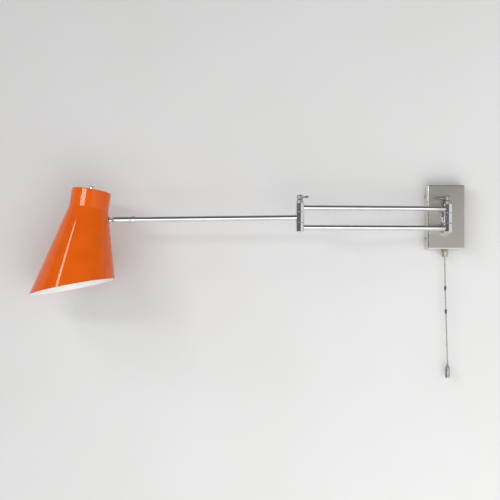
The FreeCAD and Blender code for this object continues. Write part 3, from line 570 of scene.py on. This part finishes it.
def make_cover():
    """A pressed box, open at the back. Its front is satin, and its sides and rounded edges are polished."""
    deselect()
    bpy.ops.mesh.primitive_cube_add(size=MM, location=(0, -BOX_DEPTH / 2 * MM, 0),
                                    scale=(BOX_WIDTH, BOX_DEPTH, BOX_HEIGHT))
    bpy.ops.object.transform_apply()
    cover = added("wall_box_cover")
    select_faces(cover, lambda face: face.normal.y > FACING)
    bpy.ops.mesh.delete(type="ONLY_FACE")
    bpy.ops.object.mode_set(mode="OBJECT")
    soften(cover, BOX_EDGE, segments=4, angle=50)
    cover.data.materials.append(FINISH["plate_metal"])
    cover.data.materials.append(FINISH["plate_edge"])
    for face in cover.data.polygons:
        face.material_index = int(face.normal.y > -FLAT)
    modify(cover, "SOLIDIFY", thickness=BOX_WALL * MM, offset=-1, use_even_offset=True)
    front = at(0, -BOX_DEPTH - DRILL_START, -KNUCKLE_DROP) @ TO_THE_WALL
    under = at(0, -SWITCH_SETBACK, -BOX_HEIGHT / 2 - DRILL_START)
    drill(cover, front, STEM_RADIUS + RUNNING_GAP, BOX_WALL + DRILL_BEYOND)
    drill(cover, under, NOZZLE_THREAD_RADIUS + RUNNING_GAP, BOX_WALL + DRILL_BEYOND)
    for rise in (-SIDE_SCREW_RISE, SIDE_SCREW_RISE):
        drill(cover, at(-BOX_WIDTH, -SIDE_SCREW_SETBACK, rise) @ turned_about("Y", 90),
              SIDE_SCREW_RADIUS + SIDE_SCREW_GAP, BOX_WIDTH * 2)
    seat(cover, UPRIGHT)
    modify(cover, "WEIGHTED_NORMAL", keep_sharp=True)
    fit(cover, "wall_box", "plate_metal", "box_cover")


def make_cover_screws():
    """Four pan-headed screws with a cross recess, two in each side of the box."""
    screw = lathe("cover_screw", SCREW_OUTLINE, sides=32)
    deselect()
    blades = []
    for turn in (0, 90):
        bpy.ops.mesh.primitive_cube_add(size=MM, location=(0, 0, SCREW_HEAD_HEIGHT * MM), scale=RECESS)
        blade = bpy.context.object
        blade.rotation_euler.z = math.radians(turn)
        blades.append(blade)
    for blade in blades:
        cut(screw, blade)
    screws = []
    for side in (-1, 1):
        for rise in (-SIDE_SCREW_RISE, SIDE_SCREW_RISE):
            one = copy_of(screw)
            one.matrix_world = (at(BOX_WIDTH / 2 * side, -SIDE_SCREW_SETBACK, rise)
                                @ turned_about("Y", 90 * side) @ turned_about("Z", RECESS_TURN * rise))
            screws.append(one)
    bpy.data.objects.remove(screw)
    fit(seat(together(screws, "cover_screw_set"), UPRIGHT), "wall_box", "zinc", "cover_screws")


def make_rosette():
    """The rounded washer that the stem passes through, flat against the box's front."""
    rosette = lathe("rosette", raised(ROSETTE_OUTLINE, KNUCKLE_STANDOFF))
    fit(seat(rosette, BASE_KNUCKLE @ TO_THE_WALL), "wall_box", "chrome", "stem_rosette")


def make_nozzle():
    """The nozzle that the chain hangs from, and the fluted nut between it and the box."""
    floor = at(0, -SWITCH_SETBACK, -(BOX_HEIGHT / 2 - BOX_WALL))
    nozzle = lathe("chain_nozzle", NOZZLE_OUTLINE, sides=40)
    fit(seat(nozzle, floor), "wall_box", "nickel_warm", "switch_nozzle")
    low, high = NOZZLE_SHOULDER, -BOX_WALL
    nut = lathe("nozzle_ring_nut", [
        (NUT_BORE, low), (NUT_RADIUS - NUT_EDGE, low), (NUT_RADIUS, low + NUT_EDGE),
        (NUT_RADIUS, high - NUT_EDGE), (NUT_RADIUS - NUT_EDGE, high), (NUT_BORE, high), (NUT_BORE, low),
    ], sides=72)
    flute(nut, NUT_FLUTES_BEYOND, NUT_FLUTE_SHARE)
    fit(seat(nut, floor, smooth=20), "wall_box", "nickel_warm", "nozzle_nut")


# ---------------------------------------------------------------------- knuckles
KNUCKLE_TOP, WASHER_THICKNESS = 26.3, 0.6
PIN_RADIUS = 3
PIN_FOOT = [(0, -25.7), (2.5, -25.7), (PIN_RADIUS, -25.2)]
CLAMP_COLLAR_HEIGHT = 5
CLAMP_COLLAR = [  # with the heights counted from the top of the washer
    (PIN_RADIUS, 0), (5.4, 0), (5.8, 0.4), (5.8, 3.8), *arc((4.8, 4), 1.0, 0, 90, steps=4),
]
CLAMP_HEAD = [  # with the heights counted from the top of the collar
    (4.3, 0.5), (4.3, 0.9), (5.2, 1.4), (5.2, 7.4), *arc((3.2, 7.4), 2.0, 0, 90, steps=6), (0, 9.4),
]
BASE_LEVER_REACH, OUTER_LEVER_REACH = 23.5, 16
LEVER_HEIGHT, LEVER_HOLE_RADIUS, LEVER_HOLE_DEPTH = 4.6, 1.55, 6.2
LEVER_KNOB_RADIUS = 2.3
LEVER_SHANK = [  # with the heights counted from the pin's own axis
    (0, 1), (1.2, 1), (1.5, 1.3), (1.5, 5.9), (1.75, 6.6), (1.6, 7.4),
]
LEVER_KNOB = [  # with the heights counted from the knob's middle
    (2.2, -1.5), *arc((0, 0), LEVER_KNOB_RADIUS, -25, 90, steps=8),
]
LEVER_TIP, LEVER_ROOT = 7, 5.6  # how far the lever is tipped, in degrees, and where it leaves the head


def make_clamp(prefix, place, reach, heading):
    """The screw that is a knuckle's pin, with its collar and head, and the lever through the head."""
    top = KNUCKLE_TOP + WASHER_THICKNESS
    collar = top + CLAMP_COLLAR_HEIGHT
    outline = [*PIN_FOOT, *raised(CLAMP_COLLAR, top), *raised(CLAMP_HEAD, collar)]
    screw = lathe(f"{prefix}_pin_screw", outline)
    across = at(0, 0, collar + LEVER_HEIGHT) @ turned_about("Y", 90)
    drill(screw, across, LEVER_HOLE_RADIUS, LEVER_HOLE_DEPTH)
    turn = turned_about("Z", heading)
    screw.data.materials.append(FINISH["satin_chrome"])
    fit(seat(screw, place @ turn), f"{prefix}_clamp", "chrome", f"{prefix}_clamp_screw")

    knob = reach - LEVER_KNOB_RADIUS
    lever = lathe(f"{prefix}_lever", [*LEVER_SHANK, *raised(LEVER_KNOB, knob)], sides=24)
    tip_up(lever)
    lever.data.materials.append(FINISH["lever_chrome"])
    fit(seat(lever, place @ turn @ across), f"{prefix}_clamp", "chrome", f"{prefix}_clamp_lever")


def tip_up(lever):
    """Tips a lever a few degrees about its root, so that its knob rises."""
    pick(lever)
    bpy.ops.object.mode_set(mode="EDIT")
    bpy.ops.mesh.select_all(action="SELECT")
    bpy.ops.transform.rotate(value=math.radians(LEVER_TIP), orient_axis="Y",
                             center_override=(0, 0, LEVER_ROOT * MM))
    bpy.ops.object.mode_set(mode="OBJECT")


# ---------------------------------------------------------------------- swivel
# The collar's and the sleeve's heights are counted from the ball's centre, along the single arm.
SWIVEL_MOUTH, SWIVEL_LENGTH, COLLAR_LENGTH, COLLAR_GAP = 2, 29, 11, 0.3
SLEEVE_END = SWIVEL_MOUTH - SWIVEL_LENGTH
COLLAR_FRONT = SLEEVE_END - COLLAR_GAP
COLLAR_BACK = COLLAR_FRONT - COLLAR_LENGTH
COLLAR_BORE, SLEEVE_BORE, STUD_BORE = 5.01, 5.05, 1.5
COLLAR_OUTLINE = [
    # back edge and the start of the knurling
    *raised([(COLLAR_BORE, 0), (5.9, 0), (6.2, 0.6), (6.2, 1.2), (6.4, 1.5)], COLLAR_BACK),
    # end of the knurling, groove and front edge
    *raised([(6.4, -3.2), (6.2, -2.9), (5.8, -2.6), (5.8, -2.0), (6.2, -1.7), (6.2, -0.5)], COLLAR_FRONT),
    (5.8, COLLAR_FRONT), (COLLAR_BORE, COLLAR_FRONT), (COLLAR_BORE, COLLAR_BACK),
]
KNURLS_BEYOND, KNURL_SHARE = 6.35, 0.988
SLEEVE_OUTLINE = [
    # end at the collar, with a groove near it
    *raised([(SLEEVE_BORE, 0), (5.5, 0), (5.8, 0.4), (5.8, 3.4), (5.6, 3.6)], SLEEVE_END),
    *raised([(5.6, 4.0), (5.8, 4.2)], SLEEVE_END),
    # lip rolled in over the ball
    *raised([(5.8, -1.4), *arc((4.7, -1.1), 1.1, 0, 90, steps=5), (4.65, 0)], SWIVEL_MOUTH),
    (5.02, 0.6), (SLEEVE_BORE, 0.3), (SLEEVE_BORE, SLEEVE_END),
]
STUD_OUTLINE = [
    # thread, through the shade, with the heights counted from the shade's outside
    (STUD_BORE, -6), (2.6, -6), (STUD_RADIUS, -5.6), (STUD_RADIUS, 0.05),
    # flange
    (6.1, 0.05), (6.5, 0.35), (6.5, 1.2), (5.9, 1.75), (4.6, 2.05),
    # boss
    (4.2, 2.3), (4.2, 4.2), (3.8, 4.65),
    # neck, into the ball
    (2.2, 4.65), (2.2, 5.35), (STUD_BORE, 5.35), (STUD_BORE, -6),
]


def make_swivel():
    """The knurled collar, the socket sleeve and the stud with its flange."""
    collar = lathe("arm_end_collar", COLLAR_OUTLINE, sides=80)
    flute(collar, KNURLS_BEYOND, KNURL_SHARE)
    fit(seat(collar, ARM_END, smooth=15), "outer_arm", "chrome", "swivel_collar")
    sleeve = lathe("socket_sleeve", SLEEVE_OUTLINE)
    fit(seat(sleeve, ARM_END), "swivel", "chrome", "swivel_sleeve")
    stud = lathe("ball_stud", STUD_OUTLINE)
    fit(seat(stud, STUD), "shade", "chrome", "swivel_stud")


# ---------------------------------------------------------------------- shade
SHADE_WALL, CROWN_HEIGHT, CROWN_EDGE = 1, 33, 1.5
LONG_SIDE, SHORT_SIDE, RIM_ALLOWANCE, RIM_EDGE = 172, 118, 12, 0.35
NIPPLE_BORE = 5 + RUNNING_GAP
CROWN_RING = 0.6  # where a ring of points lies on the crown, as a share of its radius
CREASE, CREASE_SUPPORT = 0.3, 1  # how far above and below the crease the side has a row of points
RIM_ROWS = (0, 1, 4)  # the rim, and how far above it the side has a row of points
STUD_DRILL = 7
FINIAL_OUTLINE = [
    # foot with a groove
    (NIPPLE_BORE, 0), (6, 0), (6, 1.6), (5.5, 2), (5.5, 2.4), (6, 2.8),
    # domed top
    (6, 6), *arc((3.5, 6), 2.5, 0, 90, steps=6), (0, 8.5),
    # bore
    (0, 5.3), (NIPPLE_BORE, 5.3), (NIPPLE_BORE, 0),
]


def shade_outline():
    """The outside of the shade from its crown down to past its rim, with the crease at height 0."""
    edge = SHADE_RADIUS - CROWN_EDGE
    depth = LONG_SIDE + RIM_ALLOWANCE
    return [
        (NIPPLE_BORE, CROWN_HEIGHT), (edge * CROWN_RING, CROWN_HEIGHT), (edge, CROWN_HEIGHT),
        *arc((edge, CROWN_HEIGHT - CROWN_EDGE), CROWN_EDGE, 75, 0, steps=5),
        (SHADE_RADIUS, CREASE_SUPPORT), (SHADE_RADIUS, CREASE), (SHADE_RADIUS + FLARE * CREASE, -CREASE),
        (SHADE_RADIUS + FLARE * CREASE_SUPPORT, -CREASE_SUPPORT), (SHADE_RADIUS + depth * FLARE, -depth),
    ]


def make_shade():
    """A spun shade: an upright crown, then a flare down to a slanting rim. Orange outside, white inside."""
    shade = lathe("orange_shade", shade_outline(), sides=160)
    left = SHADE_RADIUS + LONG_SIDE * FLARE
    right = SHADE_RADIUS + SHORT_SIDE * FLARE
    across = Vector((left + right, 0, LONG_SIDE - SHORT_SIDE))
    upwards = across.cross((0, 1, 0)).normalized()
    pick(shade)
    bpy.ops.object.mode_set(mode="EDIT")
    for rise in RIM_ROWS:
        place = (Vector((-left, 0, -LONG_SIDE)) + upwards * rise) * MM
        bpy.ops.mesh.select_all(action="SELECT")
        bpy.ops.mesh.bisect(plane_co=place, plane_no=upwards, clear_inner=rise == 0)
    bpy.ops.object.mode_set(mode="OBJECT")
    shade.data.materials.append(FINISH["enamel_orange"])
    shade.data.materials.append(FINISH["enamel_white"])
    modify(shade, "SOLIDIFY", thickness=SHADE_WALL * MM, offset=-1, use_even_offset=True, material_offset=1)
    soften(shade, RIM_EDGE, segments=2, angle=60)
    drill(shade, STUD_IN_SHADE @ at(0, 0, -STUD_DRILL), STUD_RADIUS + RUNNING_GAP, STUD_DRILL * 2)
    seat(shade, SHADE, smooth=30)
    fit(shade, "shade", "enamel_orange", "shade")


def make_finial():
    """The capped nut on top of the crown."""
    finial = lathe("crown_finial", FINIAL_OUTLINE)
    fit(seat(finial, SHADE @ at(0, 0, CROWN_HEIGHT)), "shade", "chrome", "shade_finial")


# ---------------------------------------------------------------------- the frame's own pieces
# Pieces that are shown in the shape that the frame has for them, by their finish.
KEPT = {
    "zinc": ["mounting_plate", "stem_lock_washer", "stud_nut", "holder_washer", "holder_nipple", "bulb_cap",
             "base_clamp_washer", "outer_clamp_washer"],
    "chrome": ["base_hub", "upper_base_barrel", "lower_base_barrel", "upper_outer_barrel",
               "lower_outer_barrel", "upper_tube", "lower_tube", "outer_hub", "outer_tube", "swivel_ball"],
    "nylon": ["base_washers", "outer_washers", "ball_seat"],
    "rubber": ["cable_grommet"],
    "terminal_plastic": ["terminal_block"],
    "lead_insulation": ["switch_leads", "inner_arm_lead", "outer_arm_lead"],
    "holder_plastic": ["pull_switch", "lampholder", "holder_ring"],
    "brass": ["stem_nut", "contact_shell", "centre_contact"],
    "frosted_glass": ["bulb_glass"],
}


def finish_kept_pieces():
    """Gives the frame's own pieces their finishes."""
    for slot, names in KEPT.items():
        for name in names:
            piece = frame["nodes"][name]
            piece.data.materials.clear()
            piece.data.materials.append(FINISH[slot])


# ---------------------------------------------------------------------- wall
WALL_GAP = 0.6
WALL_HALF_WIDTH, WALL_HALF_HEIGHT = 6000, 4000
HOLE_HALF_WIDTH, HOLE_HALF_HEIGHT = 27, 52
INNER_POINTS = 0.4  # the grid's rows and columns that are nearer its middle than this bound the hole
# Painted light and shade: how the wall's colour slopes with place, its level and its bounds, paler towards
# the lower right and greyer towards the upper left.
PAINTED_LIGHT_SLOPE, PAINTED_LIGHT_LEVEL, PAINTED_LIGHT_RANGE = (0.23, 0, -0.17), 1.02, (0.72, 1.16)


def make_wall():
    """A pale wall with an oblong hole behind the box, for the house cable."""
    deselect()
    bpy.ops.mesh.primitive_grid_add(x_subdivisions=3, y_subdivisions=3, size=MM)
    wall = added("wall")
    bpy.ops.object.mode_set(mode="OBJECT")
    for vertex in wall.data.vertices:
        x, y = vertex.co.x / MM, vertex.co.y / MM
        wide = HOLE_HALF_WIDTH if abs(x) < INNER_POINTS else WALL_HALF_WIDTH
        tall = HOLE_HALF_HEIGHT if abs(y) < INNER_POINTS else WALL_HALF_HEIGHT
        vertex.co = Vector((math.copysign(wide, x), 0, math.copysign(tall, y))) * MM
    bpy.context.tool_settings.mesh_select_mode = (False, False, True)
    bpy.ops.object.mode_set(mode="EDIT")
    select_faces(wall, lambda face: face.center.length < MM)
    bpy.ops.mesh.delete(type="ONLY_FACE")
    bpy.ops.object.mode_set(mode="OBJECT")
    wall.location.y = WALL_GAP * MM
    paint = coat_finish(
        "wall_paint", dark=(0.735, 0.73, 0.725), light=(0.755, 0.752, 0.75), gloss=(0.75, 0.9),
        marks=260, grain=2.5, depth=0.03)
    # painted light and shade: the wall's colour grows paler towards the lower right and greyer towards the
    # upper left
    paint_light_falloff(paint)
    show_from_the_front(paint)
    wall.data.materials.append(paint)


def paint_light_falloff(paint):
    """Paints light and shade into the wall's colour: paler towards the lower right, where more light falls,
    and greyer towards the upper left, where less falls.
    """
    nodes = paint.node_tree.nodes
    place = nodes.new("ShaderNodeTexCoord")
    slope = nodes.new("ShaderNodeVectorMath")
    slope.operation = "DOT_PRODUCT"
    slope.inputs[1].default_value = PAINTED_LIGHT_SLOPE
    level = nodes.new("ShaderNodeMath")
    level.operation = "ADD"
    level.inputs[1].default_value = PAINTED_LIGHT_LEVEL
    limit = nodes.new("ShaderNodeClamp")
    limit.inputs["Min"].default_value, limit.inputs["Max"].default_value = PAINTED_LIGHT_RANGE
    painted_light = nodes.new("ShaderNodeVectorMath")
    painted_light.operation = "SCALE"
    colour = shader_socket(paint, "Base Color")
    link(paint, place.outputs["Object"], slope.inputs[0])
    link(paint, slope.outputs["Value"], level.inputs[0])
    link(paint, level.outputs["Value"], limit.inputs["Value"])
    link(paint, limit.outputs["Result"], painted_light.inputs["Scale"])
    link(paint, colour.links[0].from_socket, painted_light.inputs[0])
    link(paint, painted_light.outputs["Vector"], colour)


def show_from_the_front(paint):
    """Makes the wall clear from behind, so that the back of the lamp shows."""
    nodes = paint.node_tree.nodes
    side = nodes.new("ShaderNodeNewGeometry")
    clear = nodes.new("ShaderNodeBsdfTransparent")
    mix = nodes.new("ShaderNodeMixShader")
    link(paint, side.outputs["Backfacing"], mix.inputs["Fac"])
    link(paint, nodes["Principled BSDF"].outputs["BSDF"], mix.inputs[1])
    link(paint, clear.outputs["BSDF"], mix.inputs[2])
    link(paint, mix.outputs["Shader"], nodes["Material Output"].inputs["Surface"])


# ---------------------------------------------------------------------- light
KEY_PLACE, KEY_TARGET = (-1827, -1509, 810), (-660, -130, 0)
LAMPS = {
    # name: place, what it faces, shift along its own width and height, size, brightness, seen in gloss
    "tall_strip": (KEY_PLACE, KEY_TARGET, (-245, 255), (215, 440), 12.5, True),
    "wide_strip": (KEY_PLACE, KEY_TARGET, (145, -400), (950, 230), 12.0, True),
    "low_fill": ((200, -1900, -1700), (-150, 0, -50), (0, 0), (1500, 1500), 1.1, False),
    "low_panel": ((-50, -2500, -950), (-50, 0, 0), (0, 0), (3200, 1600), 1.22, True),
    "behind_the_wall": ((-700, 1500, 400), (-300, 0, 0), (0, 0), (1500, 1500), 2.0, True),
}

# How bright the room is below and above a slanting line. Across is the line's slant, and edge the heights
# between which the one changes into the other.
GLOSS_ROOM = {"across": -0.3, "edge": (-0.05, 0.08), "below": 0.85, "above": 0.14}
SOFT_ROOM = {"across": 0.2, "edge": (-0.7, 0.7), "below": 0.90, "above": 0.39}
SEEN_LEVEL = 0.75


def make_lamps():
    """Flat lamps that the camera doesn't see."""
    for name, (place, target, (aside, up), (width, height), brightness, glossy) in LAMPS.items():
        lamp = bpy.data.lights.new(name, "AREA")
        lamp.shape = "RECTANGLE"
        lamp.size, lamp.size_y = width * MM, height * MM
        lamp.energy = brightness * lamp.size * lamp.size_y * math.pi
        holder = bpy.data.objects.new(name, lamp)
        bpy.context.scene.collection.objects.link(holder)
        way = Vector(target) - Vector(place)
        facing = way.to_track_quat("-Z", "Y").to_matrix().to_4x4()
        holder.matrix_world = at(*place) @ facing @ at(aside, up, 0)
        holder.visible_camera = False
        holder.visible_glossy = glossy


def room_level(world, across, edge, below, above):
    """How bright the room is, from below to above a slanting line."""
    nodes = world.node_tree.nodes
    place = nodes.new("ShaderNodeTexCoord")
    tilted = nodes.new("ShaderNodeVectorMath")
    tilted.operation = "DOT_PRODUCT"
    tilted.inputs[1].default_value = (across, 0, 1)
    level = nodes.new("ShaderNodeMapRange")
    for socket, value in zip(("From Min", "From Max", "To Min", "To Max"), (*edge, below, above)):
        level.inputs[socket].default_value = value
    link(world, place.outputs["Generated"], tilted.inputs[0])
    link(world, tilted.outputs["Value"], level.inputs["Value"])
    return level.outputs["Result"]


def make_world():
    """A pale room, darker above than below. The change is soft in its light, crisp in gloss, and not seen."""
    world = bpy.data.worlds.new("room")
    world.use_nodes = True
    bpy.context.scene.world = world
    nodes = world.node_tree.nodes
    nodes["Background"].inputs["Color"].default_value = (1, 1, 1, 1)
    path = nodes.new("ShaderNodeLightPath")
    gloss, seen = nodes.new("ShaderNodeMix"), nodes.new("ShaderNodeMix")
    seen.inputs["B"].default_value = SEEN_LEVEL
    link(world, room_level(world, **SOFT_ROOM), gloss.inputs["A"])
    link(world, room_level(world, **GLOSS_ROOM), gloss.inputs["B"])
    link(world, path.outputs["Is Glossy Ray"], gloss.inputs["Factor"])
    link(world, gloss.outputs["Result"], seen.inputs["A"])
    link(world, path.outputs["Is Camera Ray"], seen.inputs["Factor"])
    link(world, seen.outputs["Result"], nodes["Background"].inputs["Strength"])


bpy.context.scene.view_settings.view_transform = "Standard"
make_camera()
make_chain()
make_cover()
make_cover_screws()
make_rosette()
make_nozzle()
make_clamp("base", BASE_KNUCKLE, BASE_LEVER_REACH, heading=180)
make_clamp("outer", OUTER_KNUCKLE, OUTER_LEVER_REACH, heading=0)
make_swivel()
make_shade()
make_finial()
finish_kept_pieces()
make_wall()
make_lamps()
make_world()
